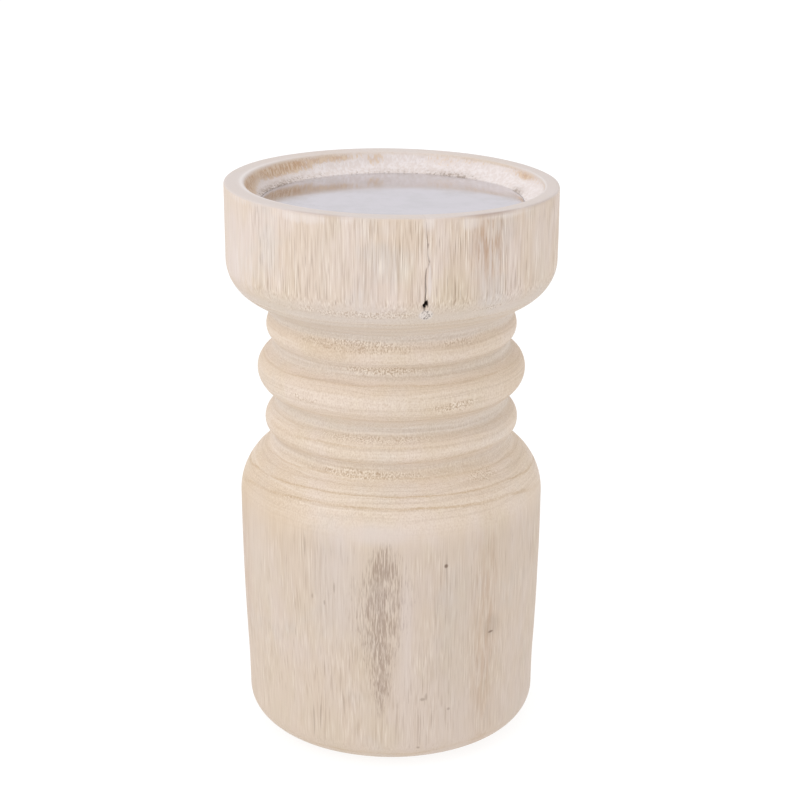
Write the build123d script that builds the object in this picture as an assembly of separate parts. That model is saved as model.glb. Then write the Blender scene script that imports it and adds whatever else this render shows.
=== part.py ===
from build123d import *
import math
import os

# A turned wooden pillar candle holder that stands on felt pads. +Z is up, and the axis of the turning is Z.
# The origin is on the floor, under the middle of the base. All sizes are in millimetres.

# Felt pads under the base
pad_count = 4
pad_diameter = 20.0
pad_thickness = 2.0
pad_edge_margin = 5.0  # from a pad's edge to where the foot starts to round

# Base: a heavy drum, slightly wider at its shoulder than at its foot
base_diameter = 140.9
base_side_height = 111.5  # wood's underside to where the shoulder starts to turn in
base_taper = 2.35  # how much less radius the foot has than the shoulder
foot_round = 12.0

# Neck: grooves and beads, bottom to top. Each rise is measured from the one below.
low_groove_diameter = 110.2
low_groove_rise = 28.4
low_bead_diameter = 116.9
low_bead_rise = 7.5
middle_groove_diameter = 107.2
middle_groove_rise = 9.5
middle_bead_diameter = 123.2
middle_bead_rise = 14.8
high_groove_diameter = 108.0
high_groove_rise = 12.4
high_bead_diameter = 114.6
high_bead_rise = 8.0
throat_diameter = 111.4
throat_rise = 6.7

# Share of a flank that belongs to the crest's arc; the groove's arc has the rest
base_side_share = 0.78
shoulder_share = 0.79
small_bead_share = 0.61
middle_bead_lower_share = 0.63
middle_bead_upper_share = 0.71

# Cup
cup_diameter = 150.0
cup_height = 59.2  # throat to rim
underside_turn = 58.0  # degrees from upright of the cup's sloping underside
throat_cove_radius = 4.0
cup_heel_radius = 19.0  # rounds the underside into the side
cup_heel_limit = 0.9  # most of the cup's overhang that the heel may take up
rim_width = 8.0
rim_outer_round = 1.3
rim_inner_round = 1.2
recess_depth = 9.5  # rim to the top of the plate
recess_wall_run = 7.45  # how far the wall leans in on its way down to the plate
recess_wall_radius = 16.0  # hollow curve of that wall

# Candle plate, loose in a shallow pocket of its own thickness
plate_thickness = 1.2
plate_clearance = 0.35
plate_edge_round = 0.3

# Radii and heights that follow from the sizes above
foot_radius = base_diameter / 2 - base_taper
foot_flat_radius = foot_radius - foot_round
pad_circle_radius = foot_flat_radius - pad_edge_margin - pad_diameter / 2
shoulder_height = pad_thickness + base_side_height
low_groove_height = shoulder_height + low_groove_rise
low_bead_height = low_groove_height + low_bead_rise
middle_groove_height = low_bead_height + middle_groove_rise
middle_bead_height = middle_groove_height + middle_bead_rise
high_groove_height = middle_bead_height + high_groove_rise
high_bead_height = high_groove_height + high_bead_rise
throat_height = high_bead_height + throat_rise
rim_height = throat_height + cup_height
cup_radius = cup_diameter / 2
rim_inner_radius = cup_radius - rim_width
pocket_radius = rim_inner_radius - recess_wall_run
plate_radius = pocket_radius - plate_clearance
plate_top = rim_height - recess_depth
plate_bottom = plate_top - plate_thickness


def flank(lower, upper, crest_share):
    """Two arcs that join a crest and a groove, upright at both ends and smooth where they meet."""
    share = crest_share if lower.X > upper.X else 1 - crest_share
    meeting = lower + (upper - lower) * share
    first = TangentArc(lower, meeting, tangent=(0, 1))
    TangentArc(meeting, upper, tangent=first % 1)


def base_and_neck_outline():
    """From the middle of the underside, out round the foot and up the beads, to the throat under the cup."""
    foot = Vector(foot_radius, pad_thickness + foot_round)
    shoulder = Vector(base_diameter / 2, shoulder_height)
    low_groove = Vector(low_groove_diameter / 2, low_groove_height)
    low_bead = Vector(low_bead_diameter / 2, low_bead_height)
    middle_groove = Vector(middle_groove_diameter / 2, middle_groove_height)
    middle_bead = Vector(middle_bead_diameter / 2, middle_bead_height)
    high_groove = Vector(high_groove_diameter / 2, high_groove_height)
    high_bead = Vector(high_bead_diameter / 2, high_bead_height)
    throat = Vector(throat_diameter / 2, throat_height)
    Line((0, pad_thickness), (foot_flat_radius, pad_thickness))
    TangentArc((foot_flat_radius, pad_thickness), foot, tangent=(1, 0))
    flank(foot, shoulder, base_side_share)
    flank(shoulder, low_groove, shoulder_share)
    flank(low_groove, low_bead, small_bead_share)
    flank(low_bead, middle_groove, small_bead_share)
    flank(middle_groove, middle_bead, middle_bead_lower_share)
    flank(middle_bead, high_groove, middle_bead_upper_share)
    flank(high_groove, high_bead, small_bead_share)
    flank(high_bead, throat, small_bead_share)


def cup_underside_outline():
    """From the throat through a cove, up the sloping underside and round the heel. Returns the heel's upper end."""
    turn = math.radians(underside_turn)
    slope = Vector(math.sin(turn), math.cos(turn))
    turned = Vector(1 - math.cos(turn), math.sin(turn))  # what an arc of radius 1 covers in that turn
    throat = Vector(throat_diameter / 2, throat_height)
    cove_end = throat + turned * throat_cove_radius
    overhang = cup_radius - cove_end.X
    heel_radius = min(cup_heel_radius, cup_heel_limit * overhang / turned.X)
    heel_start = cove_end + slope * ((overhang - heel_radius * turned.X) / slope.X)
    heel_end = heel_start + turned * heel_radius
    TangentArc(throat, cove_end, tangent=(0, 1))
    Line(cove_end, heel_start)
    TangentArc(heel_start, heel_end, tangent=slope)
    return heel_end


def cup_outline():
    """The underside, the side and the rim, then down the recess wall and back along the axis."""
    heel_end = cup_underside_outline()
    side_top = Vector(cup_radius, rim_height - rim_outer_round)
    rim_outer = Vector(cup_radius - rim_outer_round, rim_height)
    rim_inner = Vector(rim_inner_radius + rim_inner_round, rim_height)
    wall_top = Vector(rim_inner_radius, rim_height - rim_inner_round)
    pocket_edge = Vector(pocket_radius, plate_top)
    Line(heel_end, side_top)
    TangentArc(side_top, rim_outer, tangent=(0, 1))
    Line(rim_outer, rim_inner)
    TangentArc(rim_inner, wall_top, tangent=(-1, 0))
    RadiusArc(wall_top, pocket_edge, recess_wall_radius)
    Polyline(pocket_edge, (pocket_radius, plate_bottom), (0, plate_bottom), (0, pad_thickness))


def wood_body():
    """The one-piece turning: base, shoulder, beaded neck and cup."""
    with BuildPart() as body:
        with BuildSketch(Plane.XZ):
            with BuildLine():
                base_and_neck_outline()
                cup_outline()
            make_face()
        revolve(axis=Axis.Z)
    return body.part


def candle_plate():
    """The flat disc that lies in the pocket at the bottom of the recess."""
    disc = Pos(0, 0, plate_bottom) * extrude(Circle(plate_radius), plate_thickness)
    return fillet(disc.edges(), plate_edge_round)


def felt_pad(number):
    """One felt disc under the base. The pads share a circle round the axis."""
    place = Rot(0, 0, (number - 0.5) * 360 / pad_count) * Pos(pad_circle_radius, 0, 0)
    return place * extrude(Circle(pad_diameter / 2), pad_thickness)


def write(node, shape):
    """Names one node and writes its file."""
    shape.label = node
    export_step(shape, f"parts/{node}.step")


os.makedirs("parts", exist_ok=True)
write("wood_body", wood_body())
write("candle_plate", candle_plate())
for number in range(1, pad_count + 1):
    write(f"felt_pad_{number}", felt_pad(number))
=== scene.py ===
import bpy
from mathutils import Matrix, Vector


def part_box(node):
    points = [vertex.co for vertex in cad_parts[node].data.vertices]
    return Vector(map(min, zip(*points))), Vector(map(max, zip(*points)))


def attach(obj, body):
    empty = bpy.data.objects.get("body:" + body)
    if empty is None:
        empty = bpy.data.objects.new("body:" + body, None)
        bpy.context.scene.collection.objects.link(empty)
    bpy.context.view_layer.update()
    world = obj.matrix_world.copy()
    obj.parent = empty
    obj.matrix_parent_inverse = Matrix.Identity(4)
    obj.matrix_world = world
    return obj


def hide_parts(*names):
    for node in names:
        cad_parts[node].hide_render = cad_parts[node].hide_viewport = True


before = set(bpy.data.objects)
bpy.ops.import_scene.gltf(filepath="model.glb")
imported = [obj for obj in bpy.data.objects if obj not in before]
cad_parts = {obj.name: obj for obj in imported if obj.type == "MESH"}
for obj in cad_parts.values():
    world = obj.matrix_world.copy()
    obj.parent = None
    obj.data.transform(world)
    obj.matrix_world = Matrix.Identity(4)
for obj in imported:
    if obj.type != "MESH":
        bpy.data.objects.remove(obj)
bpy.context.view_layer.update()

import math

import bmesh
import bpy
import numpy as np
from mathutils import Matrix, Vector, noise

# A turned, whitewashed wooden holder for a pillar candle, with a loose bright plate in its cup.
# Lengths are in metres. Angles round the turning are in degrees: 0 is the front, and they grow to the right.

MM = 0.001

# Sizes of the turning
BASE_RADIUS = 70.45 * MM
FOOT_RADIUS = 68.1 * MM
FOOT_ROUND = 12.0 * MM
SHOULDER_HEIGHT = 113.5 * MM
LOW_GROOVE = (55.1 * MM, 141.9 * MM)  # each is (radius, height)
LOW_BEAD = (58.45 * MM, 149.4 * MM)
MIDDLE_GROOVE = (53.6 * MM, 158.9 * MM)
MIDDLE_BEAD = (61.6 * MM, 173.7 * MM)
HIGH_GROOVE = (54.0 * MM, 186.1 * MM)
HIGH_BEAD = (57.3 * MM, 194.1 * MM)
THROAT = (55.7 * MM, 200.8 * MM)
BASE_SIDE_SHARE = 0.78  # how much of a flank belongs to the crest's arc
SHOULDER_SHARE = 0.79
SMALL_BEAD_SHARE = 0.61
MIDDLE_BEAD_LOWER_SHARE = 0.63
MIDDLE_BEAD_UPPER_SHARE = 0.71
UNDERSIDE_TURN = math.radians(58.0)
COVE_RADIUS = 4.0 * MM
HEEL_RADIUS = 19.0 * MM
RIM_WIDTH = 8.0 * MM
RIM_OUTER_ROUND = 0.8 * MM
RIM_INNER_ROUND = 1.2 * MM
RECESS_WALL_RADIUS = 16.0 * MM
POCKET_RADIUS = 59.55 * MM
PLATE_EDGE_ROUND = 0.3 * MM
PLATE_DISH = 0.72 * MM  # how far the plate's top dips to its middle

wood_low, wood_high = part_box("wood_body")
plate_low, plate_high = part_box("candle_plate")
CUP_RADIUS = wood_high.x
RIM_HEIGHT = wood_high.z
UNDERSIDE = wood_low.z
PLATE_RADIUS = plate_high.x
PLATE_TOP = plate_high.z
PLATE_BOTTOM = plate_low.z

# How the tree grew
PITH = (0.3 * MM, 4.0 * MM)  # where the heart of the tree passes through the turning
PITH_BEND = 0.8  # how much of its offset it loses on its way up the neck
RING_SPACING = 3.7 * MM
RING_START = 66.6 * MM  # one ring's distance from the pith
RING_WANDER = 0.7 * MM  # how far a ring strays in and out on its way round
RING_RIPPLE = 0.12 * MM
LATE_WOOD_LIFT = 0.05 * MM  # how far a ring's hard wood stands up


class Wiring:
    """Builds a node tree step by step. A step's values are plain, or another step's output."""

    def __init__(self, tree):
        self.tree = tree
        self.tree.nodes.clear()

    def step(self, kind, values=(), **settings):
        node = self.tree.nodes.new(kind)
        for name, value in settings.items():
            setattr(node, name, value)
        for key, value in dict(values).items():
            if isinstance(value, bpy.types.NodeSocket):
                self.tree.links.new(value, node.inputs[key])
            else:
                node.inputs[key].default_value = value
        return node

    def math(self, operation, first, second=0.0, third=0.0):
        values = {0: first, 1: second, 2: third}
        return self.step("ShaderNodeMath", values, operation=operation).outputs[0]

    def times(self, first, second):
        return self.math("MULTIPLY", first, second)

    def plus(self, first, second):
        return self.math("ADD", first, second)

    def minus(self, first, second):
        return self.math("SUBTRACT", first, second)

    def vector_math(self, operation, first, second=(0.0, 0.0, 0.0)):
        node = self.step("ShaderNodeVectorMath", {0: first, 1: second}, operation=operation)
        return node.outputs["Value" if operation in ("LENGTH", "DISTANCE") else "Vector"]

    def scaled(self, vector, factors):
        return self.vector_math("MULTIPLY", vector, factors)

    def stretched(self, vector, upward):
        """Coordinates that change more slowly upwards, so that a noise runs along the grain."""
        return self.scaled(vector, (1.0, 1.0, upward))

    def soften(self, value, low, high, start=0.0, end=1.0):
        """Goes smoothly from start to end as the value goes from low to high."""
        values = {"Value": value, "From Min": low, "From Max": high, "To Min": start, "To Max": end}
        return self.step("ShaderNodeMapRange", values, interpolation_type="SMOOTHSTEP").outputs[0]

    def noise(self, vector, scale, detail=2.0, roughness=0.5, distortion=0.0):
        values = {"Vector": vector, "Scale": scale, "Detail": detail, "Roughness": roughness,
                  "Distortion": distortion}
        return self.step("ShaderNodeTexNoise", values).outputs[0]

    def mix(self, factor, first, second):
        values = {0: factor, 6: first, 7: second}
        return self.step("ShaderNodeMix", values, data_type="RGBA", blend_type="MIX").outputs[2]

    def tint(self, tone, amount, strength, paint):
        """Lays a colour over a tone, as strongly as the amount times the strength."""
        return self.mix(self.times(amount, strength), tone, colour(*paint))

    def attribute(self, name):
        return self.step("ShaderNodeAttribute", attribute_name=name).outputs["Fac"]


def colour(red, green, blue):
    """A colour as a paint chart gives it, from 0 to 255, made linear for the renderer."""
    linear = []
    for channel in (red, green, blue):
        share = channel / 255
        linear.append(share / 12.92 if share <= 0.04045 else ((share + 0.055) / 1.055) ** 2.4)
    return (*linear, 1.0)


# ---------------------------------------------------------------- the lathe


class Outline:
    """Half of a turning's section, as rows of points of (radius, height), drawn from one end to the other."""

    def __init__(self, radius, height):
        self.points = [Vector((radius, height))]

    def line(self, radius, height, gap):
        """A straight run, with rows about a gap apart."""
        start, end = self.points[-1].copy(), Vector((radius, height))
        rows = max(1, round((end - start).length / gap))
        self.points += [start.lerp(end, (row + 1) / rows) for row in range(rows)]

    def arc(self, end, tangent, gap):
        """An arc that leaves the last point along the tangent. Returns its direction at the end."""
        start, tangent = self.points[-1].copy(), Vector(tangent).normalized()
        chord = Vector(end) - start
        half_turn = math.atan2(tangent.cross(chord), tangent.dot(chord))
        rows = max(2, round(chord.length / gap))
        for row in range(rows):
            turned = half_turn * (row + 1) / rows
            reach = chord.length * math.sin(turned) / math.sin(half_turn)
            self.points.append(start + rotated(tangent, turned) * reach)
        return rotated(tangent, 2 * half_turn)

    def flank(self, end, crest_share, gap):
        """Two arcs from a groove to a crest or back, upright at both ends and smooth where they meet."""
        start, end = self.points[-1].copy(), Vector(end)
        share = crest_share if start.x > end.x else 1 - crest_share
        middle_direction = self.arc(start.lerp(end, share), (0, 1), gap)
        self.arc(end, middle_direction, gap)


def rotated(direction, angle):
    """A flat direction turned by an angle."""
    cosine, sine = math.cos(angle), math.sin(angle)
    return Vector((direction.x * cosine - direction.y * sine, direction.x * sine + direction.y * cosine))


def holder_outline():
    """From the middle of the underside, up the outside, over the rim and down to the middle of the pocket."""
    outline = Outline(0, UNDERSIDE)
    outline.line(FOOT_RADIUS - FOOT_ROUND, UNDERSIDE, 14 * MM)
    outline.arc((FOOT_RADIUS, UNDERSIDE + FOOT_ROUND), (1, 0), 1.3 * MM)
    outline.flank((BASE_RADIUS, SHOULDER_HEIGHT), BASE_SIDE_SHARE, 2.9 * MM)
    outline.flank(LOW_GROOVE, SHOULDER_SHARE, 1.0 * MM)
    outline.flank(LOW_BEAD, SMALL_BEAD_SHARE, 0.95 * MM)
    outline.flank(MIDDLE_GROOVE, SMALL_BEAD_SHARE, 0.95 * MM)
    outline.flank(MIDDLE_BEAD, MIDDLE_BEAD_LOWER_SHARE, 0.95 * MM)
    outline.flank(HIGH_GROOVE, MIDDLE_BEAD_UPPER_SHARE, 0.95 * MM)
    outline.flank(HIGH_BEAD, SMALL_BEAD_SHARE, 0.95 * MM)
    outline.flank(THROAT, SMALL_BEAD_SHARE, 0.95 * MM)
    draw_cup(outline)
    outline.line(POCKET_RADIUS, PLATE_BOTTOM, 0.6 * MM)
    outline.line(0, PLATE_BOTTOM, 15 * MM)
    return outline.points


def draw_cup(outline):
    """The cove, the sloping underside, the heel, the side, the rim and the recess wall."""
    slope = Vector((math.sin(UNDERSIDE_TURN), math.cos(UNDERSIDE_TURN)))
    turned = Vector((1 - math.cos(UNDERSIDE_TURN), math.sin(UNDERSIDE_TURN)))
    cove_end = Vector(THROAT) + turned * COVE_RADIUS
    heel_start = cove_end + slope * ((CUP_RADIUS - cove_end.x - HEEL_RADIUS * turned.x) / slope.x)
    heel_end = heel_start + turned * HEEL_RADIUS
    outline.arc(cove_end, (0, 1), 0.8 * MM)
    outline.line(*heel_start, 1.0 * MM)
    outline.arc(heel_end, slope, 0.85 * MM)
    outline.line(CUP_RADIUS, RIM_HEIGHT - RIM_OUTER_ROUND, 1.1 * MM)
    outline.arc((CUP_RADIUS - RIM_OUTER_ROUND, RIM_HEIGHT), (0, 1), 0.5 * MM)
    outline.line(CUP_RADIUS - RIM_WIDTH + RIM_INNER_ROUND, RIM_HEIGHT, 0.9 * MM)
    outline.arc((CUP_RADIUS - RIM_WIDTH, RIM_HEIGHT - RIM_INNER_ROUND), (-1, 0), 0.5 * MM)
    down_wall = Vector((POCKET_RADIUS, PLATE_TOP)) - outline.points[-1]
    lean = math.asin(down_wall.length / 2 / RECESS_WALL_RADIUS)
    outline.arc((POCKET_RADIUS, PLATE_TOP), rotated(down_wall, lean), 0.5 * MM)


def plate_outline():
    """From the middle of the underside, round the rolled edge, to the middle of the top."""
    outline = Outline(0, PLATE_BOTTOM)
    outline.line(PLATE_RADIUS - PLATE_EDGE_ROUND, PLATE_BOTTOM, 7 * MM)
    outline.arc((PLATE_RADIUS, PLATE_BOTTOM + PLATE_EDGE_ROUND), (1, 0), 0.1 * MM)
    outline.line(PLATE_RADIUS, PLATE_TOP - PLATE_EDGE_ROUND, 0.3 * MM)
    outline.arc((PLATE_RADIUS - PLATE_EDGE_ROUND, PLATE_TOP), (0, 1), 0.1 * MM)
    edge = PLATE_RADIUS - PLATE_EDGE_ROUND
    outline.line(0, PLATE_TOP, 1.5 * MM)
    for point in outline.points:
        if point.y > PLATE_TOP - 0.01 * MM:
            point.y -= PLATE_DISH * (1 - (point.x / edge) ** 2)
    return outline.points


def lathe_tree():
    """Geometry nodes that turn an outline round the axis. The steps crowd together on the fine side."""
    tree = bpy.data.node_groups.new("Lathe", "GeometryNodeTree")
    sockets = {}
    for name, kind, value in (
        ("Outline", "NodeSocketGeometry", None),
        ("Steps Round", "NodeSocketInt", 400),
        ("Fine Side", "NodeSocketFloat", 0.0),
        ("Fine Width", "NodeSocketFloat", 0.25),
        ("Fineness", "NodeSocketFloat", 0.0),
        ("Unevenness", "NodeSocketFloat", 0.0),
        ("Finish", "NodeSocketMaterial", None),
    ):
        socket = tree.interface.new_socket(name, in_out="INPUT", socket_type=kind)
        if value is not None:
            socket.default_value = value
        sockets[name] = socket.identifier
    tree.interface.new_socket("Turning", in_out="OUTPUT", socket_type="NodeSocketGeometry")
    w = Wiring(tree)
    given = w.step("NodeGroupInput").outputs
    outline, steps = given["Outline"], given["Steps Round"]

    rows = w.step("GeometryNodeAttributeDomainSize", {"Geometry": outline}).outputs["Point Count"]
    columns = w.plus(steps, 1.0)
    grid = w.step("GeometryNodeMeshGrid", {"Vertices X": columns, "Vertices Y": rows})
    index = w.step("GeometryNodeInputIndex").outputs[0]
    row = w.math("MODULO", index, rows)
    column = w.math("FLOOR", w.math("DIVIDE", w.plus(index, 0.5), rows))

    # The angle runs half a turn to each side of the fine side. The arc tangent term crowds it there.
    even = w.minus(w.times(w.math("DIVIDE", column, steps), 2 * math.pi), math.pi)
    crowd = w.times(w.math("ARCTANGENT", w.math("DIVIDE", even, given["Fine Width"])), given["Fineness"])
    most = w.times(w.math("ARCTANGENT", w.math("DIVIDE", math.pi, given["Fine Width"])), given["Fineness"])
    stretch = w.plus(w.math("DIVIDE", most, math.pi), 1.0)
    angle = w.plus(w.minus(w.times(even, stretch), crowd), given["Fine Side"])

    spot = w.step("GeometryNodeInputPosition").outputs[0]
    sample = w.step("GeometryNodeSampleIndex", {"Geometry": outline}, data_type="FLOAT_VECTOR",
                    domain="POINT")
    w.tree.links.new(spot, sample.inputs["Value"])
    w.tree.links.new(row, sample.inputs["Index"])
    half = w.step("ShaderNodeSeparateXYZ", {0: sample.outputs[0]}).outputs
    x = w.times(half["X"], w.math("SINE", angle))
    y = w.times(half["X"], w.times(w.math("COSINE", angle), -1.0))
    place = w.step("ShaderNodeCombineXYZ", {"X": x, "Y": y, "Z": half["Z"]}).outputs[0]
    turned = w.step("GeometryNodeSetPosition", {"Geometry": grid.outputs["Mesh"], "Position": place})
    closed = w.step("GeometryNodeMergeByDistance", {"Geometry": turned.outputs[0], "Distance": 2e-6})

    # A turner's hand is never quite even, and dry wood moves a little.
    wave = w.noise(w.scaled(spot, (1.0, 1.0, 1.6)), 26.0, 2.0)
    push = w.times(w.minus(wave, 0.5), given["Unevenness"])
    normal = w.step("GeometryNodeInputNormal").outputs[0]
    offset = w.step("ShaderNodeVectorMath", {0: normal, "Scale": push}, operation="SCALE").outputs[0]
    worn = w.step("GeometryNodeSetPosition", {"Geometry": closed.outputs[0], "Offset": offset})

    smooth = w.step("GeometryNodeSetShadeSmooth", {"Geometry": worn.outputs[0]})
    solid = w.step("GeometryNodeRealizeInstances", {"Geometry": smooth.outputs[0]})
    done = w.step("GeometryNodeSetMaterial", {"Geometry": solid.outputs[0], "Material": given["Finish"]})
    w.step("NodeGroupOutput", {0: done.outputs[0]})
    return tree, sockets


def grown(name, mesh, tree, sockets, values):
    """Runs a geometry node tree on a mesh and returns an object with the result as a plain mesh."""
    start = bpy.data.objects.new(name + "_start", mesh)
    bpy.context.scene.collection.objects.link(start)
    modifier = start.modifiers.new("make", "NODES")
    modifier.node_group = tree
    for key, value in values.items():
        modifier[sockets[key]] = value
    graph = bpy.context.evaluated_depsgraph_get()
    result = bpy.data.meshes.new_from_object(start.evaluated_get(graph), depsgraph=graph)
    result.name = name
    bpy.data.objects.remove(start)
    piece = bpy.data.objects.new(name, result)
    bpy.context.scene.collection.objects.link(piece)
    return piece


def turned_piece(name, outline, finish, **values):
    """Turns an outline on the lathe."""
    mesh = bpy.data.meshes.new(name + "_outline")
    mesh.from_pydata([(point.x, 0, point.y) for point in outline], [], [])
    values = {key.replace("_", " ").title(): value for key, value in values.items()}
    piece = grown(name, mesh, *LATHE, {**values, "Finish": finish})
    face_outwards(piece.data)
    return piece


def face_outwards(mesh):
    """Makes every face of a closed mesh point outwards."""
    shell = bmesh.new()
    shell.from_mesh(mesh)
    bmesh.ops.recalc_face_normals(shell, faces=shell.faces)
    if shell.calc_volume(signed=True) < 0:
        bmesh.ops.reverse_faces(shell, faces=shell.faces)
    shell.to_mesh(mesh)
    shell.free()


# ---------------------------------------------------------------- carving the wood

# Here and in the zones below, radii and heights are in mm.

CRACK_LINE = (  # (height, angle), top to bottom
    (259.2, 10.6), (257.6, 11.0), (252.0, 11.1), (248.2, 11.6), (244.0, 11.5), (240.6, 12.1), (239.0, 11.7),
    (237.4, 11.0), (232.2, 10.8), (228.0, 11.0), (224.8, 10.8), (222.4, 10.9), (220.2, 10.7), (217.5, 10.2),
)
CRACK_OPENING = (  # (height, half width, depth), top to bottom
    (259.4, 0.10, 0.0), (257.6, 0.22, 0.22), (249.5, 0.20, 0.25), (248.2, 0.36, 0.6), (246.8, 0.22, 0.3),
    (243.0, 0.26, 0.4), (240.0, 0.24, 0.35), (238.6, 0.20, 0.2), (237.2, 0.22, 0.45), (232.0, 0.26, 0.7),
    (226.0, 0.28, 0.9), (224.4, 0.30, 1.0), (221.0, 0.30, 1.0), (219.4, 0.22, 0.4), (217.5, 0.10, 0.0),
)
KNOT_ANGLE = 10.95
KNOT_HEIGHT = 222.4
KNOT_HALF_WIDTH = 1.2
KNOT_HALF_HEIGHT = 1.65
KNOT_DEPTH = 4.2
KNOT_LEAN = 0.35  # how far its top leans to the right, for each mm up
KNOT_SWELL = 0.22  # how far the wood round it stands up
RECESS_ROUGHNESS = 0.36 * MM
PLATE_LEVEL = 250.5  # where the recess wall meets the plate
RECESS_EDGE = 59.38  # the scraped wall never comes nearer to the plate than this radius
RECESS_SHIFT = (1.1 * MM, 0.8 * MM)  # to the right and to the front
RECESS_TIGHT = 0.2 * MM  # how much smaller its mouth is than drawn
RIM_DROP = 1.9 * MM  # how much lower the cup is cut on the right


def measured(mesh):
    """Each point's place, and its radius in mm, angle and height in mm."""
    places = np.empty(len(mesh.vertices) * 3)
    mesh.vertices.foreach_get("co", places)
    places = places.reshape(-1, 3)
    radius = np.hypot(places[:, 0], places[:, 1])
    angle = np.degrees(np.arctan2(places[:, 0], -places[:, 1]))
    return places, radius / MM, angle, places[:, 2] / MM


def put_back(mesh, places):
    """Moves a mesh's points to new places."""
    mesh.vertices.foreach_set("co", places.ravel())


def write_values(mesh, name, values, where=None):
    """Keeps one number for each point of a mesh, for its finish to read."""
    full = np.zeros(len(mesh.vertices), np.float32)
    full[slice(None) if where is None else where] = values
    mesh.attributes.new(name, "FLOAT", "POINT").data.foreach_set("value", full)


def part_way(value, start, length):
    """How far a value is past a start, as a share of a length, from 0 to 1. A negative length goes down."""
    return np.clip((value - start) / length, 0, 1)


def crack_and_knot(mesh):
    """Opens the drying crack down the cup and the knot hole at its foot."""
    places, radius, angle, height = measured(mesh)
    near = np.flatnonzero((np.abs(angle - 11) < 5) & (radius > 68) & (height > 214))
    radii, heights = radius[near], height[near]
    line = np.array(CRACK_LINE)[::-1]
    opening = np.array(CRACK_OPENING)[::-1]
    middle = np.interp(heights, line[:, 0], line[:, 1])
    half_width = np.interp(heights, opening[:, 0], opening[:, 1])
    depth = np.interp(heights, opening[:, 0], opening[:, 2])
    across = np.radians(angle[near] - middle) * radii
    open_share = np.clip(1.25 - np.abs(across) / half_width, 0, 1)

    beside = np.radians(angle[near] - KNOT_ANGLE) * radii
    above = heights - KNOT_HEIGHT
    leaned = beside - above * KNOT_LEAN
    diamond = (np.abs(leaned) / KNOT_HALF_WIDTH) ** 1.25 + (np.abs(above) / KNOT_HALF_HEIGHT) ** 1.25
    hole = KNOT_DEPTH * np.clip((1.05 - diamond) * 1.8, 0, 1)
    swell = KNOT_SWELL * np.exp(-((diamond - 1.7) / 0.5) ** 2)
    cut = depth * open_share
    cut = np.maximum(cut, hole) - swell * (cut < 0.05)
    places[near, :2] *= ((radii - cut) / radii)[:, None]
    put_back(mesh, places)
    # Masks for the painted shade inside the knot hole and the crack.
    write_values(mesh, "opening", np.clip(hole / 1.5, 0, 1), near)
    write_values(mesh, "crack", open_share * np.clip(0.25 + depth, 0, 1), near)


def rough_recess(mesh):
    """Leaves the scraped wall of the recess rough, with a ragged edge where it meets the pocket."""
    places, radius, angle, height = measured(mesh)
    wall = np.flatnonzero((radius < 67.5) & (radius > 59.3) & (height > PLATE_LEVEL - 0.3))
    for point in wall:
        spot = Vector(places[point])
        coarse = noise.noise(spot * 210 + Vector((3, 7, 1)))
        fine = noise.noise(spot * 620 + Vector((9, 2, 5)))
        turn = math.radians(angle[point])
        evenness = (0.75 - 0.35 * math.sin(turn)) * (0.75 + 0.25 * math.cos(turn))
        down = (67.2 - radius[point]) / 7.6
        strength = max(0.0, min(1.0, down * 2.5)) * RECESS_ROUGHNESS * evenness
        push = (coarse * 0.6 + fine * 0.45) * strength
        off_edge = 1 - max(0.0, 1 - abs(height[point] - PLATE_LEVEL) / 0.6)
        outward = Vector((spot.x, spot.y, 0)).normalized()
        spot += outward * max(push * 0.7, (RECESS_EDGE - radius[point]) * MM)
        spot += Vector((0, 0, push * 0.5 * off_edge))
        places[point] = spot
    put_back(mesh, places)


def uneven_rim(mesh):
    """Cuts the cup a touch lower on the right, and sets the recess a little off centre, as by hand."""
    places, radius, angle, height = measured(mesh)
    turn = np.radians(angle)
    side_share = part_way(height, 226, 32) * (radius > 70)
    wall_share = part_way(height, 250.6, 8) * (radius <= 70)
    most = np.maximum(side_share, wall_share)
    most = most * most * (3 - 2 * most)
    places[:, 2] -= most * RIM_DROP * ((1 + places[:, 0] / CUP_RADIUS) / 2) ** 2
    inner = most * part_way(radius, 70, -2.5) * (height > 250.6)
    grow = inner * (RECESS_SHIFT[0] * np.sin(turn) + RECESS_SHIFT[1] * np.cos(turn) - RECESS_TIGHT)
    places[:, :2] *= (1 + grow / np.maximum(radius * MM, 1 * MM))[:, None]
    put_back(mesh, places)


def ring_count(place):
    """How many rings a place is out from the line at RING_START, at which a ring is in its middle."""
    x, y, z = place
    wander = noise.noise(Vector((x * 45, y * 45, z * 14)) + Vector((4, 8, 2))) * RING_WANDER
    ripple = noise.noise(Vector((x * 160, y * 160, z * 60))) * RING_RIPPLE
    bend = min(1.0, max(0.0, (z / MM - 128) / 30)) * PITH_BEND
    distance = math.hypot(x - PITH[0], y - PITH[1] * (1 - bend))
    return (distance - RING_START + wander + ripple) / RING_SPACING + 0.5


def growth_rings(mesh):
    """Gives each point its place among the growth rings, and raises the hard late wood on the slopes.

    A ring's late wood is the line in its middle. Two rings stand out on the shoulder.
    """
    mesh.update()
    places, radius, _, height = measured(mesh)
    normals = np.array([tuple(vertex.normal) for vertex in mesh.vertices])
    rings = np.array([ring_count(place) for place in places.tolist()])
    number = np.floor(rings)
    slope = np.abs(normals[:, 2])
    late = np.exp(-((rings - number - 0.5) / 0.13) ** 2)
    outside = (radius > 50) & (height > 20) & (height < 250)
    lift = np.where(outside, late * np.clip(slope * 1.4 - 0.15, 0, 1) * LATE_WOOD_LIFT, 0)
    put_back(mesh, places + normals * lift[:, None])
    write_values(mesh, "rings", rings + 40)  # so that none is below zero
    write_values(mesh, "slope", np.where(height < 250, slope, 0.12))
    on_shoulder = (height > 96) & (height < 136)
    bold = np.select([number == 0, number == 1, number == 2], [0.62, 0.56, 0.2], 0.05)
    write_values(mesh, "late", np.where(on_shoulder, bold, 0.16 + 0.12 * np.sin(number * 2.4)))


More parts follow.
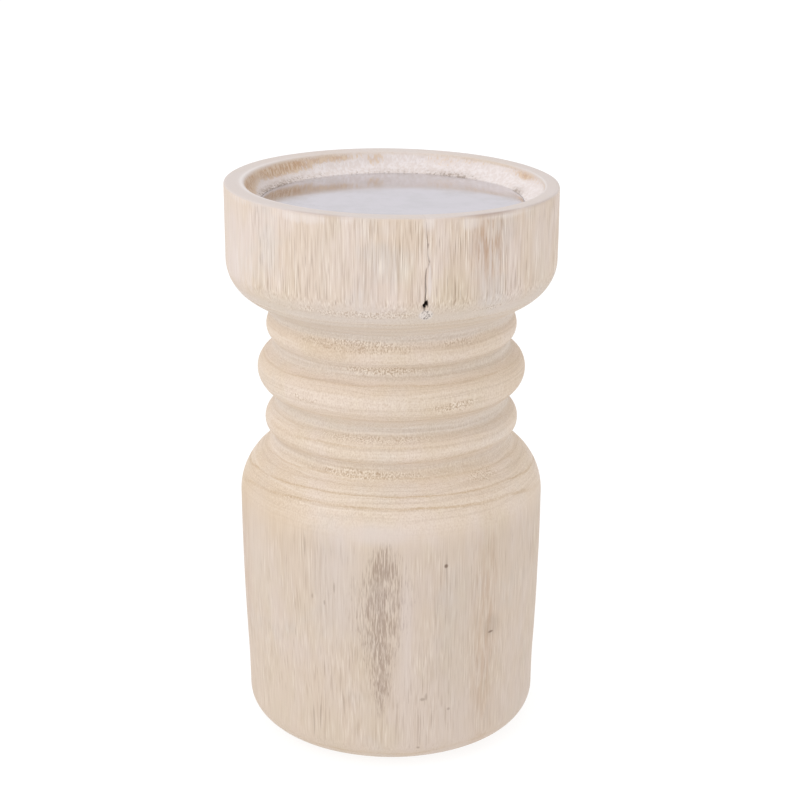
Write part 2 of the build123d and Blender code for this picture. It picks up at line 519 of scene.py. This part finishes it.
# ---------------------------------------------------------------- coloured places on the wood

STAIN = (  # (height, middle angle, half width in degrees), bottom to top
    (20, -4.2, 0.6), (36, -3.9, 2.6), (46, -3.6, 4.0), (61, -3.8, 6.0), (76, -3.6, 8.4), (86, -3.2, 9.6),
    (96, -3.0, 8.2), (105, -2.6, 5.6), (112, -2.4, 3.0), (116, -2.8, 0.6),
)

# Each soft spot below is (angle, height, half width in degrees, half height, strength).

WHITE_SPOTS = (  # white wash left at the edges of the cup, beside the crack and at the back
    (12.2, 231, 0.7, 8, 1.2), (10.2, 217, 1.6, 1.6, 0.9), (-30, 258, 10, 3.5, 1.0), (-14, 259, 4, 3.0, 0.7),
    (12, 258, 3, 4, 0.8), (26, 257, 5, 4, 0.8), (-44, 240, 6, 14, 0.5), (-60, 232, 12, 16, 0.6),
    (40, 258.5, 16, 2.0, 0.7), (-60, 258.5, 14, 2.0, 0.6), (60, 245, 9, 16, 0.3), (95, 250, 14, 9, 0.8),
    (140, 254, 10, 6, 0.8), (176, 258.2, 34, 2.6, 0.9), (-120, 246, 12, 12, 0.7), (172, 90, 10, 25, 0.5),
    (-100, 60, 8, 30, 0.45),
)
MILKY_SPOTS = (  # thin wash, above and beside the stain and on the sides
    (-5, 117, 13, 5, 0.75), (5.6, 72, 2.4, 38, 0.45), (-16, 100, 6, 22, 0.3), (-20, 234, 16, 24, 0.3),
    (-78, 240, 26, 30, 0.5), (-60, 100, 10, 30, 0.3), (130, 60, 14, 40, 0.5), (-150, 110, 16, 16, 0.6),
    (60, 236, 8, 24, 0.4),
)
RED_SPOTS = (  # reddish heartwood
    (33, 246, 6, 16, 0.9), (38, 60, 6, 62, 0.42), (-75, 80, 7, 40, 0.4), (115, 70, 8, 50, 0.6),
    (-150, 240, 8, 18, 0.7), (-160, 60, 6, 50, 0.5),
)
GREY_SPOTS = (
    (-22, 88, 9, 26, 0.45), (24, 60, 8, 40, 0.35), (150, 100, 16, 22, 0.5), (-115, 100, 14, 20, 0.4),
)
LINED_SPOTS = (  # where thin dark fibres show on the base
    (-24, 32, 12, 26, 0.55), (14, 32, 11, 28, 0.65), (-34, 92, 10, 22, 0.6), (24, 74, 12, 30, 0.5),
    (38, 40, 8, 30, 0.5), (120, 50, 30, 40, 0.7), (-140, 60, 30, 40, 0.7), (-68, 40, 14, 30, 0.4),
    (-1, 30, 8, 16, 0.6),
)
CHIPPED_SPOTS = ((11.4, 217.2, 2.3, 2.3, 1.0),)  # under the knot hole
TORN_BANDS = (  # end grain that the tool tore, mostly on the upper slopes
    (-15, 198, 32, 2.8, 0.9), (30, 198.5, 14, 2.2, 0.6), (-5, 187, 20, 2.2, 1.0), (27, 171.5, 12, 2.4, 0.9),
    (-40, 172.5, 9, 1.8, 0.6), (-10, 156, 28, 2.0, 0.75), (-14, 139.4, 24, 2.2, 0.9),
    (42, 135.5, 11, 2.2, 0.7), (-12, 217.4, 30, 2.2, 0.8), (34, 218, 10, 1.8, 0.5),
    (150, 187, 24, 2.2, 0.8), (-150, 156, 20, 2.2, 0.7), (-120, 172, 12, 2.4, 0.7),
    (110, 139.5, 22, 2.2, 0.8), (175, 198.5, 26, 2.2, 0.8), (130, 217.6, 40, 2.2, 0.7),
    (-120, 217.4, 24, 2.2, 0.7), (-40, 126, 8, 1.5, 0.4),
)
SANDY_SPOTS = (  # yellower wood on the neck and shoulder
    (-62, 120, 26, 18, 0.75), (0, 139.5, 62, 2.8, 0.6), (-28, 195, 15, 5, 0.6), (32, 196, 12, 3, 0.45),
    (25, 171.5, 14, 3, 0.4), (75, 172, 22, 9, 0.6), (10, 187.5, 34, 2.4, 0.4), (-20, 178, 20, 1.4, 0.3),
    (-58, 150, 18, 6, 0.35), (150, 188, 30, 3, 0.5), (-150, 140, 40, 3, 0.5), (120, 196, 20, 4, 0.5),
    (-72, 219, 22, 3, 0.5), (170, 120, 30, 14, 0.4),
)
# The strong spots on the left are tan wood and also painted shade on the shaded left of the wall.
BARE_AND_SHADED_SPOTS = (  # tan wood showing on the recess wall; the back of the wall is at 180
    (-124, 256.5, 26, 4.5, 0.7), (-150, 257.6, 16, 2.6, 0.6), (-173, 255.5, 4.5, 4.0, 0.4),
    (158, 256.0, 8, 3.5, 0.38), (146, 257.8, 16, 1.8, 0.25), (112, 257.4, 18, 2.4, 0.4),
    (-92, 255.5, 18, 6, 0.8), (60, 256, 30, 4, 0.3), (-30, 256, 30, 4, 0.35),
)
# Painted shade on the left of the recess wall, and painted shade with dirt where it meets the plate.
SHADE_AND_DIRT_SPOTS = (  # the shaded left of the recess wall, and where it meets the plate
    (-100, 254.5, 26, 6.0, 0.7), (-112, 251, 30, 2.4, 1.0), (152, 251, 14, 1.8, 0.75),
    (107, 251, 6, 1.8, 0.9), (-60, 251, 20, 2.0, 0.6), (30, 251, 30, 1.6, 0.5), (178, 251, 14, 1.4, 0.4),
)
# Painted highlight along the rim's inner edge.
PAINTED_HIGHLIGHT_EDGES = ((-80, 259, 52, 6, 1.0), (88, 259, 30, 6, 0.8))  # the rim's inner edge
WORN_EDGES = (  # its outer edge
    (34, 259, 11, 6, 0.9), (58, 259, 12, 6, 0.4), (150, 259, 34, 6, 0.3), (-165, 259, 24, 6, 0.15),
    (-25, 259, 12, 6, 0.5),
)
SMOOTH_SIDE = ((-72, 236, 24, 60, 0.65),)  # where the fibres hardly show on the cup
RIM_HIGHLIGHT_RADIUS = 68.2
RIM_WORN_RADIUS = 74.7


def spots(angle, height, table):
    """How strongly each point lies in any of a table's soft spots."""
    most = np.zeros(len(angle))
    for middle, level, half_width, half_height, strength in table:
        beside = (angle - middle + 180) % 360 - 180
        reach = (beside / half_width) ** 2 + ((height - level) / half_height) ** 2
        most = np.maximum(most, strength * np.exp(-reach ** 1.5))
    return most


def colour_zones(mesh):
    """Writes down how much of each kind of colour and surface every point of the wood has."""
    _, radius, angle, height = measured(mesh)
    anywhere, outside, inside = radius >= 0, radius > 40, radius < 68
    for name, table, where in (
        ("white", WHITE_SPOTS, anywhere),
        ("milky", MILKY_SPOTS, anywhere),
        ("red", RED_SPOTS, anywhere),
        ("grey", GREY_SPOTS, anywhere),
        ("lined", LINED_SPOTS, anywhere),
        ("chipped", CHIPPED_SPOTS, anywhere),
        ("bare_and_shaded", BARE_AND_SHADED_SPOTS, anywhere),
        ("torn", TORN_BANDS, outside),
        ("sandy", SANDY_SPOTS, outside),
        ("shade_and_dirt", SHADE_AND_DIRT_SPOTS, inside),
    ):
        write_values(mesh, name, spots(angle, height, table) * where)
    stain_zone(mesh, radius, angle, height)
    rim_zones(mesh, radius, angle, height)
    surface_zones(mesh, radius, angle, height)


def stain_zone(mesh, radius, angle, height):
    """The dark stain down the front of the base."""
    table = np.array(STAIN)
    middle = np.interp(height, table[:, 0], table[:, 1])
    half_width = np.interp(height, table[:, 0], table[:, 2])
    stain = np.exp(-(np.abs(angle - middle) / half_width) ** 1.8) * (radius > 60)
    write_values(mesh, "stain", stain * part_way(height, 24, 14) * part_way(height, 117, -8))


def rim_zones(mesh, radius, angle, height):
    """The rim's flat top, the painted highlight on its inner edge and its worn outer edge."""
    at_back = part_way(np.abs(angle), 110, 35)
    flat_top = part_way(height, 259.3, 0.5) * (radius > 65)
    write_values(mesh, "rim", flat_top * (1 - 0.2 * at_back * part_way(radius, 73.6, -1.6)))
    near_inside = np.exp(-((radius - RIM_HIGHLIGHT_RADIUS) / 0.6) ** 2) * (height > 258.6)
    write_values(mesh, "painted_edge_highlight", near_inside * spots(angle, height, PAINTED_HIGHLIGHT_EDGES))
    near_outside = np.exp(-((radius - RIM_WORN_RADIUS) / 0.4) ** 2) * (height > 258.8)
    write_values(mesh, "worn_edge", near_outside * spots(angle, height, WORN_EDGES))


def surface_zones(mesh, radius, angle, height):
    """Where the wood is scraped, turned smooth or fibrous, and where shade is painted into the grooves and
    under the cup.
    """
    in_recess = (radius < 67.4) & (radius > 58) & (height > 249)
    write_values(mesh, "recess", in_recess * part_way(radius, 67.6, -8.0))
    on_neck = part_way(height, 112, 14) * part_way(height, 218, -6)
    write_values(mesh, "turned", on_neck * (radius > 40))
    on_cup = part_way(height, 214, 10) * part_way(height, 259.6, -1.0)
    on_base = part_way(height, 120, -12)
    write_values(mesh, "base", on_base)
    cup_grain = on_cup * (1 - spots(angle, height, SMOOTH_SIDE))
    base_grain = on_base * part_way(height, 4, 12) * 0.42
    write_values(mesh, "grain", np.maximum(np.maximum(cup_grain, base_grain), 0.16))
    # Painted shade: a darker, cooler tone in the grooves of the neck and on the underside of the cup, where
    # shade falls.
    groove = part_way(radius, 56.8, -3.0) * (height > 134) * (height < 206)
    under_cup = part_way(height, 223, -6) * (height > 200)
    write_values(mesh, "painted_hollow_shade", np.maximum(groove, under_cup) * (radius > 40))


# ---------------------------------------------------------------- finishes


def new_finish(name):
    """A material with a plain principled shader. Returns it, its wiring and the shader node."""
    material = bpy.data.materials.new(name)
    material.use_nodes = True
    w = Wiring(material.node_tree)
    shader = w.step("ShaderNodeBsdfPrincipled")
    w.step("ShaderNodeOutputMaterial", {"Surface": shader.outputs[0]})
    return material, w, shader


def moved(w, place, *offset):
    """The same coordinates somewhere else in the noise, so that two patterns don't agree."""
    return w.vector_math("ADD", place, offset)


def whitewashed_wood():
    """Pale ash-like wood, limed white and worn: rings, fibres, pores, blotches and a thin white wash."""
    material, w, shader = new_finish("whitewashed_wood")
    place = w.step("ShaderNodeTexCoord").outputs["Object"]
    grain = w.attribute("grain")
    tone = wood_ground(w, place)
    tone, ring_lines = ring_marks(w, place, tone)
    tone, turned_lines = turning_marks(w, place, tone)
    tone, fibres, pores = fibre_marks(w, place, grain, tone)
    tone = coloured_places(w, place, tone)
    tone, crust = recess_marks(w, place, tone)
    # Painted shade: the inside of the crack greyed and the knot hole almost black, where shade falls in them.
    tone = w.tint(tone, w.attribute("crack"), 0.6, (104, 96, 96))
    tone = w.mix(w.soften(w.attribute("opening"), 0.1, 0.7), tone, colour(50, 40, 36))

    height = w.times(fibres, w.times(grain, 0.8))
    height = w.minus(height, w.times(pores, 0.8))
    for lines, strength in ((ring_lines, 0.4), (turned_lines, 0.5), (crust, 0.4)):
        height = w.plus(height, w.times(lines, strength))
    bump = w.step("ShaderNodeBump", {"Height": height, "Distance": 0.22 * MM, "Strength": 0.8})
    w.tree.links.new(tone, shader.inputs["Base Color"])
    w.tree.links.new(w.soften(fibres, 0.3, 0.7, 0.76, 0.6), shader.inputs["Roughness"])
    w.tree.links.new(bump.outputs[0], shader.inputs["Normal"])
    shader.inputs["Specular IOR Level"].default_value = 0.4
    return material


def wood_ground(w, place):
    """Soft patches of warm, pinkish, sandy and cool wood, with painted shade in the grooves and under the
    cup.
    """
    first = w.noise(w.stretched(place, 0.5), 42.0, 3.0, 0.55)
    second = w.noise(moved(w, w.stretched(place, 0.5), 3.1, 1.7, 0.4), 60.0, 3.0, 0.55)
    third = w.noise(moved(w, place, 0.3, 5.1, 2.2), 33.0, 3.0, 0.6)
    tone = w.mix(w.soften(first, 0.4, 0.62), colour(212, 194, 177), colour(214, 198, 188))
    tone = w.mix(w.soften(second, 0.48, 0.68, 0.0, 0.6), tone, colour(206, 190, 168))
    tone = w.mix(w.soften(third, 0.52, 0.72, 0.0, 0.5), tone, colour(203, 196, 191))
    tone = w.tint(tone, w.attribute("turned"), 0.5, (220, 203, 185))
    tone = w.tint(tone, w.attribute("base"), 0.5, (194, 178, 163))
    # Painted shade in the grooves and under the cup.
    tone = w.tint(tone, w.attribute("painted_hollow_shade"), 0.5, (200, 191, 183))
    return w.tint(tone, w.attribute("sandy"), 0.8, (202, 179, 151))


def ring_marks(w, place, tone):
    """Growth rings where the surface cuts across them. Returns the tone and the lines of late wood."""
    jitter = w.times(w.minus(w.noise(place, 420.0, 2.0), 0.5), 0.16)
    phase = w.math("FRACT", w.plus(w.attribute("rings"), jitter))
    off_line = w.math("ABSOLUTE", w.minus(phase, 0.5))
    cut_across = w.soften(w.attribute("slope"), 0.12, 0.5)
    fine_line = w.times(w.soften(off_line, 0.11, 0.03), cut_across)
    broad_band = w.times(w.soften(off_line, 0.36, 0.04), cut_across)
    patchy = w.soften(w.noise(moved(w, place, 1.3, 0.2, 4.4), 55.0, 2.0), 0.34, 0.62, 0.35, 1.0)
    late = w.attribute("late")
    tone = w.tint(tone, broad_band, w.plus(w.times(late, 0.22), 0.08), (198, 176, 148))
    tone = w.tint(tone, fine_line, w.times(late, patchy), (184, 156, 122))
    return tone, fine_line


def turning_marks(w, place, tone):
    """What the turning tool leaves on the neck and shoulder: torn end grain, specks and fine lines."""
    amount = w.attribute("turned")
    torn = w.noise(w.stretched(place, 0.6), 1700.0, 1.0, 0.5)
    ragged = w.noise(moved(w, w.stretched(place, 2.0), 5.0, 0.4, 3.0), 160.0, 3.0, 0.6)
    torn_amount = w.soften(w.plus(w.attribute("torn"), w.times(w.minus(ragged, 0.5), 1.6)), 0.2, 0.8)
    tone = w.tint(tone, w.soften(torn, 0.5, 0.35), w.times(torn_amount, 0.68), (166, 140, 114))
    tone = w.tint(tone, w.soften(torn, 0.5, 0.65), w.times(torn_amount, 0.55), (238, 226, 212))
    tone = w.tint(tone, w.soften(torn, 0.48, 0.34), w.times(amount, 0.26), (178, 154, 130))
    tone = w.tint(tone, w.soften(torn, 0.52, 0.66), w.times(amount, 0.26), (236, 224, 208))

    drift = w.noise(w.stretched(place, 3.0), 24.0, 2.0)
    upward = w.step("ShaderNodeSeparateXYZ", {0: place}).outputs["Z"]
    level = w.plus(upward, w.times(w.minus(drift, 0.5), 4 * MM))
    round_place = w.step("ShaderNodeCombineXYZ", {"Z": level}).outputs[0]
    swept = w.vector_math("ADD", round_place, w.scaled(place, (0.012, 0.012, 0.0)))
    lines = w.noise(swept, 950.0, 3.0, 0.7)
    wide = w.noise(moved(w, swept, 0.0, 0.0, 0.7), 170.0, 2.0, 0.5)
    tone = w.tint(tone, w.soften(wide, 0.48, 0.64), w.times(amount, 0.22), (208, 186, 160))
    tone = w.tint(tone, w.soften(lines, 0.5, 0.36), w.times(amount, 0.22), (174, 154, 134))
    tone = w.tint(tone, w.soften(lines, 0.54, 0.68), w.times(amount, 0.3), (230, 218, 206))
    return tone, w.times(lines, amount)


def fibre_marks(w, place, grain, tone):
    """Long fibres and open pores. They are dashes on a side face and dots where the grain is cut across."""
    fibres = w.noise(w.stretched(place, 0.032), 2300.0, 1.0, 0.5)
    broad = w.noise(moved(w, w.stretched(place, 0.06), 2.0, 9.0, 0.0), 560.0, 2.0, 0.5)
    uneven = w.noise(moved(w, w.stretched(place, 0.5), 1.0, 6.0, 2.0), 90.0, 2.0)
    strength = w.times(grain, w.soften(uneven, 0.35, 0.62, 0.45, 1.15))
    dark = w.times(w.soften(fibres, 0.47, 0.32), strength)
    light = w.times(w.soften(fibres, 0.54, 0.7), strength)
    tone = w.tint(tone, w.soften(broad, 0.46, 0.62), w.times(grain, 0.25), (196, 174, 152))
    tone = w.tint(tone, dark, 0.52, (162, 140, 120))
    tone = w.tint(tone, light, 0.6, (238, 227, 214))
    pores = wood_pores(w, place, 1.15 * MM, 22.0 * MM, 0.3)
    small_pores = wood_pores(w, place, 0.9 * MM, 12.0 * MM, 1.7)
    porous = w.soften(w.noise(w.stretched(place, 0.3), 75.0, 2.0), 0.38, 0.58)
    pores = w.math("MAXIMUM", pores, w.times(small_pores, 0.8))
    pores = w.times(w.times(pores, porous), w.soften(grain, 0.05, 0.75))
    tone = w.tint(tone, pores, 0.5, (144, 120, 100))
    return tone, fibres, pores


def wood_pores(w, place, width, length, seed):
    """Short open pores along the grain: dashes on a side face and dots on end grain. 1 is inside one."""
    cells = w.scaled(moved(w, place, seed, seed, seed), (1 / width, 1 / width, 1 / length))
    cell = w.step("ShaderNodeTexVoronoi", {"Vector": cells, "Scale": 1.0})
    chance = w.step("ShaderNodeSeparateColor", {0: cell.outputs["Color"]}).outputs[0]
    return w.times(w.soften(cell.outputs["Distance"], 0.34, 0.12), w.soften(chance, 0.42, 0.8))


def coloured_places(w, place, tone):
    """The coloured places of the wood, laid over each other from the first to the last."""
    ragged = w.noise(w.stretched(place, 0.12), 620.0, 3.0, 0.65)
    streaks = w.plus(w.times(w.soften(ragged, 0.4, 0.6), 0.7), 0.1)
    tone = w.tint(tone, w.attribute("red"), streaks, (177, 143, 116))
    tone = w.tint(tone, w.attribute("grey"), 0.5, (190, 181, 174))
    tone = stain_marks(w, place, tone)
    tone = dark_lines(w, place, tone)
    tone = chipped_marks(w, place, tone)
    wash_edge = w.plus(w.attribute("white"), w.times(w.minus(ragged, 0.5), 1.6))
    tone = w.mix(w.soften(wash_edge, 0.25, 1.0, 0.0, 0.6), tone, colour(224, 214, 209))
    tone = w.tint(tone, w.attribute("milky"), 0.75, (212, 200, 196))
    for mark in SMALL_MARKS:
        tone = small_mark(w, place, tone, *mark)
    return rim_marks(w, place, tone)


def stain_marks(w, place, tone):
    """A thin brown stain with dark and light threads along the grain."""
    stain = w.attribute("stain")
    threads = w.noise(moved(w, w.stretched(place, 0.05), 3.0, 8.0, 0.0), 2900.0, 2.0, 0.65)
    dark = w.soften(w.plus(threads, w.times(stain, 0.2)), 0.59, 0.75)
    dark = w.times(dark, w.soften(stain, 0.02, 0.3))
    tone = w.tint(tone, stain, 0.3, (174, 156, 142))
    tone = w.tint(tone, w.soften(threads, 0.5, 0.4), w.times(stain, 0.45), (220, 205, 190))
    return w.tint(tone, dark, 0.56, (140, 118, 104))


def dark_lines(w, place, tone):
    """Single dark fibres on the base."""
    lines = w.noise(moved(w, w.stretched(place, 0.02), 6.0, 2.0, 0.0), 1500.0, 1.0)
    lines = w.times(w.soften(lines, 0.58, 0.68), w.attribute("lined"))
    return w.tint(tone, lines, 0.55, (146, 122, 104))


def chipped_marks(w, place, tone):
    """The limed patch under the knot hole, with ragged dark strokes in it."""
    chipped = w.attribute("chipped")
    strokes = w.noise(w.stretched(place, 0.5), 1500.0, 2.0, 0.6)
    strokes = w.times(w.soften(strokes, 0.5, 0.42), w.soften(chipped, 0.25, 0.7))
    tone = w.tint(tone, w.soften(chipped, 0.1, 0.6), 0.55, (224, 217, 213))
    return w.tint(tone, strokes, 0.75, (100, 90, 86))


SMALL_MARKS = (  # (angle, height, radius, half width, half height, strength)
    (20.2, 100.8, 70.4, 1.1, 1.2, 0.9), (20.4, 98.5, 70.4, 0.5, 11.0, 0.3),
    (40.4, 62.9, 69.7, 1.9, 0.7, 0.75), (40.6, 66.0, 69.7, 6.0, 7.0, 0.16),
    (12.0, 35.8, 68.7, 1.5, 1.0, 0.4), (13.4, 37.0, 68.7, 0.7, 2.4, 0.35),
    (22.5, 29.0, 68.4, 1.0, 0.9, 0.4), (10.6, 11.0, 68.0, 1.0, 0.8, 0.45),
    (-21.0, 90.0, 70.2, 0.6, 3.2, 0.3), (-25.0, 82.0, 70.0, 0.6, 1.6, 0.35),
    (-30.0, 84.0, 70.0, 0.7, 1.5, 0.3), (-33.0, 108.0, 70.4, 0.7, 6.0, 0.25),
    (-31.0, 21.0, 68.2, 0.4, 12.0, 0.4), (-28.0, 24.0, 68.2, 0.4, 9.0, 0.35),
    (-18.0, 30.0, 68.5, 0.4, 10.0, 0.3), (150.0, 71.0, 69.8, 1.4, 1.4, 0.8),
    (150.4, 71.0, 69.8, 3.5, 6.0, 0.2), (-110.0, 44.0, 69.0, 1.2, 1.0, 0.7),
    (-128.0, 238.0, 75.0, 1.1, 2.2, 0.7),
)


def small_mark(w, place, tone, angle, level, radius, width, tall, shade):
    """A small dark knot or speck, as a soft dot that may be stretched upwards. Sizes are in mm."""
    turn = math.radians(angle)
    spot = (radius * MM * math.sin(turn), -radius * MM * math.cos(turn), level * MM)
    away = w.vector_math("SUBTRACT", place, spot)
    away = w.scaled(away, (1 / (width * MM), 1 / (width * MM), 1 / (tall * MM)))
    near = w.soften(w.vector_math("LENGTH", away), 1.1, 0.4, 0.0, shade)
    return w.mix(near, tone, colour(118, 98, 84))


def rim_marks(w, place, tone):
    """The powdery white wash on the rim, with a painted highlight on the inner edge and a worn outer one."""
    powder = w.soften(w.noise(place, 900.0, 3.0, 0.7), 0.35, 0.65, 0.68, 0.88)
    tone = w.tint(tone, w.attribute("rim"), powder, (207, 198, 195))
    # Painted highlight: a light line along the rim's inner edge.
    tone = w.tint(tone, w.attribute("painted_edge_highlight"), 0.7, (228, 222, 220))
    return w.tint(tone, w.attribute("worn_edge"), 0.7, (160, 134, 122))


def recess_marks(w, place, tone):
    """The scraped wall of the recess: limed white over tan wood, with painted shade on its left and painted
    shade with dirt where it meets the plate.
    """
    recess = w.attribute("recess")
    shade_and_dirt = w.attribute("shade_and_dirt")
    crust = w.noise(place, 560.0, 4.0, 0.65)
    torn = w.noise(w.stretched(place, 0.2), 780.0, 3.0, 0.6)
    patches = w.noise(moved(w, place, 4.0, 2.5, 0.5), 62.0, 3.0, 0.6)
    tan = w.mix(w.soften(torn, 0.38, 0.62), colour(193, 159, 128), colour(216, 195, 174))
    lime = w.mix(w.soften(torn, 0.4, 0.62), colour(221, 210, 206), colour(230, 222, 221))
    # Where tan wood shows through the lime; on the left it is also painted shade.
    bare_and_shaded = w.plus(w.minus(w.attribute("bare_and_shaded"), w.times(recess, 0.5)), patches)
    bare_and_shaded = w.plus(bare_and_shaded, w.times(w.minus(torn, 0.5), 1.3))
    wall = w.mix(w.soften(bare_and_shaded, 0.6, 0.95), lime, tan)
    # Dark specks of dirt, denser along the foot of the wall, where they also stand in for the shadow of the
    # gap at the plate.
    specks = w.noise(moved(w, place, 7.0, 1.0, 2.0), 700.0, 3.0, 0.75)
    specks = w.soften(w.plus(specks, w.times(shade_and_dirt, 0.16)), 0.6, 0.7)
    specks = w.times(specks, w.soften(recess, 0.6, 0.95))
    # Painted shade: darkens the left of the wall, and with dirt its foot at the plate.
    wall = w.tint(wall, shade_and_dirt, 0.3, (158, 138, 122))
    wall = w.tint(wall, specks, 0.62, (132, 112, 94))
    tone = w.mix(w.soften(recess, 0.04, 0.12), tone, wall)
    return tone, w.times(crust, w.soften(recess, 0.04, 0.3))


def bright_steel():
    """Tinned steel, rolled bright: nearly a mirror, with faint rolling marks, wipes and small scratches."""
    material, w, shader = new_finish("bright_steel")
    place = w.step("ShaderNodeTexCoord").outputs["Object"]
    rolling = w.noise(w.scaled(place, (1.0, 0.03, 1.0)), 1500.0, 2.0)
    wiped = w.noise(place, 70.0, 3.0, 0.6)
    scratch = w.noise(w.scaled(place, (0.05, 1.0, 1.0)), 2600.0, 1.0)
    tone = w.mix(w.soften(wiped, 0.4, 0.65), colour(217, 215, 219), colour(211, 210, 213))
    w.tree.links.new(tone, shader.inputs["Base Color"])
    rough = w.plus(w.soften(wiped, 0.35, 0.7, 0.08, 0.14), w.soften(scratch, 0.7, 0.78, 0.0, 0.12))
    w.tree.links.new(rough, shader.inputs["Roughness"])
    height = w.plus(w.times(rolling, 0.03), w.noise(place, 45.0, 1.0))
    bump = w.step("ShaderNodeBump", {"Height": height, "Distance": 0.02 * MM, "Strength": 1.0})
    w.tree.links.new(bump.outputs[0], shader.inputs["Normal"])
    shader.inputs["Metallic"].default_value = 1.0
    return material


def grey_felt():
    """Pressed wool felt: matted fibres, light and dark flecks, and a soft sheen."""
    material, w, shader = new_finish("grey_felt")
    place = w.step("ShaderNodeTexCoord").outputs["Object"]
    fibres = w.noise(w.scaled(place, (1.0, 0.35, 1.0)), 2600.0, 4.0, 0.7, 1.2)
    crossing = w.noise(w.scaled(place, (0.35, 1.0, 1.0)), 2300.0, 4.0, 0.7, 1.2)
    matted = w.math("MAXIMUM", fibres, crossing)
    tone = w.mix(w.soften(matted, 0.45, 0.7), colour(104, 96, 88), colour(152, 143, 132))
    fleck = w.soften(w.noise(place, 1400.0, 2.0), 0.66, 0.72)
    tone = w.mix(fleck, tone, colour(198, 190, 178))
    w.tree.links.new(tone, shader.inputs["Base Color"])
    bump = w.step("ShaderNodeBump", {"Height": matted, "Distance": 0.25 * MM, "Strength": 0.9})
    w.tree.links.new(bump.outputs[0], shader.inputs["Normal"])
    shader.inputs["Roughness"].default_value = 0.95
    shader.inputs["Sheen Weight"].default_value = 0.4
    return material


# ---------------------------------------------------------------- the room

FLOOR_HALF_WIDTH = 6.0
LAMP_PLACE = Vector((-1.5, -1.3, 1.5))
LAMP_AIM = Vector((0, 0, 0.13))
LAMP_WIDTH = 1.6
LAMP_POWER = 9.0
LENS_LENGTH = 83.6  # in mm, for a picture 36 mm wide
CAMERA_PLACE = (0.0, -0.8183, 0.4316)
CAMERA_DOWN = 18.63  # in degrees, as are the next two
CAMERA_TURN = -0.28
CAMERA_ROLL = 0.2


def studio():
    """A plain pale floor, an even white surround and one large soft light from the front left."""
    world = bpy.data.worlds.new("surround")
    bpy.context.scene.world = world
    world.use_nodes = True
    w = Wiring(world.node_tree)
    around = w.step("ShaderNodeTexCoord").outputs["Generated"]
    direction = w.step("ShaderNodeSeparateXYZ", {0: around}).outputs
    brightness = w.soften(direction["X"], -0.9, 0.9, 1.12, 0.98)
    low_behind = w.times(w.soften(direction["Y"], 0.6, 0.9), w.soften(direction["Z"], 0.5, 0.32))
    tint = w.mix(low_behind, (1.0, 1.0, 1.0, 1.0), (0.82, 0.8, 0.828, 1.0))
    sky = w.step("ShaderNodeBackground", {"Color": tint, "Strength": brightness})
    w.step("ShaderNodeOutputWorld", {"Surface": sky.outputs[0]})

    mesh = bpy.data.meshes.new("floor")
    half = FLOOR_HALF_WIDTH
    corners = [(-half, -half, 0), (half, -half, 0), (half, half, 0), (-half, half, 0)]
    mesh.from_pydata(corners, [], [(0, 1, 2, 3)])
    floor = bpy.data.objects.new("floor", mesh)
    bpy.context.scene.collection.objects.link(floor)
    material, w, shader = new_finish("pale_floor")
    grain = w.noise(w.step("ShaderNodeTexCoord").outputs["Object"], 8.0, 2.0)
    tone = w.mix(grain, colour(137, 137, 137), colour(141, 141, 141))
    w.tree.links.new(tone, shader.inputs["Base Color"])
    shader.inputs["Roughness"].default_value = 0.9
    shader.inputs["Specular IOR Level"].default_value = 0.0
    shader.inputs["Emission Color"].default_value = (1.0, 1.0, 1.0, 1.0)
    shader.inputs["Emission Strength"].default_value = 0.8
    mesh.materials.append(material)

    lamp = bpy.data.lights.new("soft_key", "AREA")
    lamp.shape = "SQUARE"
    lamp.size = LAMP_WIDTH
    lamp.energy = LAMP_POWER
    lamp.color = (1.0, 0.985, 0.965)
    key = bpy.data.objects.new("soft_key", lamp)
    bpy.context.scene.collection.objects.link(key)
    aim = (LAMP_AIM - LAMP_PLACE).to_track_quat("-Z", "Y")
    key.matrix_world = Matrix.Translation(LAMP_PLACE) @ aim.to_matrix().to_4x4()


def camera():
    """Looks slightly down at the holder from the front."""
    lens = bpy.data.cameras.new("camera")
    lens.lens = LENS_LENGTH
    lens.sensor_width = 36.0
    viewer = bpy.data.objects.new("camera", lens)
    bpy.context.scene.collection.objects.link(viewer)
    stand = Matrix.Translation(CAMERA_PLACE)
    turn = Matrix.Rotation(math.radians(CAMERA_TURN), 4, "Z")
    tilt = Matrix.Rotation(math.radians(90.0 - CAMERA_DOWN), 4, "X")
    roll = Matrix.Rotation(math.radians(CAMERA_ROLL), 4, "Z")
    viewer.matrix_world = stand @ turn @ tilt @ roll
    bpy.context.scene.camera = viewer
    bpy.context.scene.view_settings.view_transform = "Standard"


# ---------------------------------------------------------------- making it

camera()
studio()

LATHE = lathe_tree()
wood_finish = whitewashed_wood()
steel_finish = bright_steel()
felt_finish = grey_felt()

holder = turned_piece(
    "turned_holder", holder_outline(), wood_finish, steps_round=376, fine_side=math.radians(11.1),
    fine_width=0.25, fineness=0.235, unevenness=0.35 * MM,
)
rough_recess(holder.data)
growth_rings(holder.data)
colour_zones(holder.data)
crack_and_knot(holder.data)
uneven_rim(holder.data)
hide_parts("wood_body")
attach(holder, "holder")

plate = turned_piece("bright_plate", plate_outline(), steel_finish, steps_round=192)
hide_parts("candle_plate")
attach(plate, "plate")

for number in range(1, 5):
    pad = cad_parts[f"felt_pad_{number}"]
    pad.data.materials.clear()
    pad.data.materials.append(felt_finish)
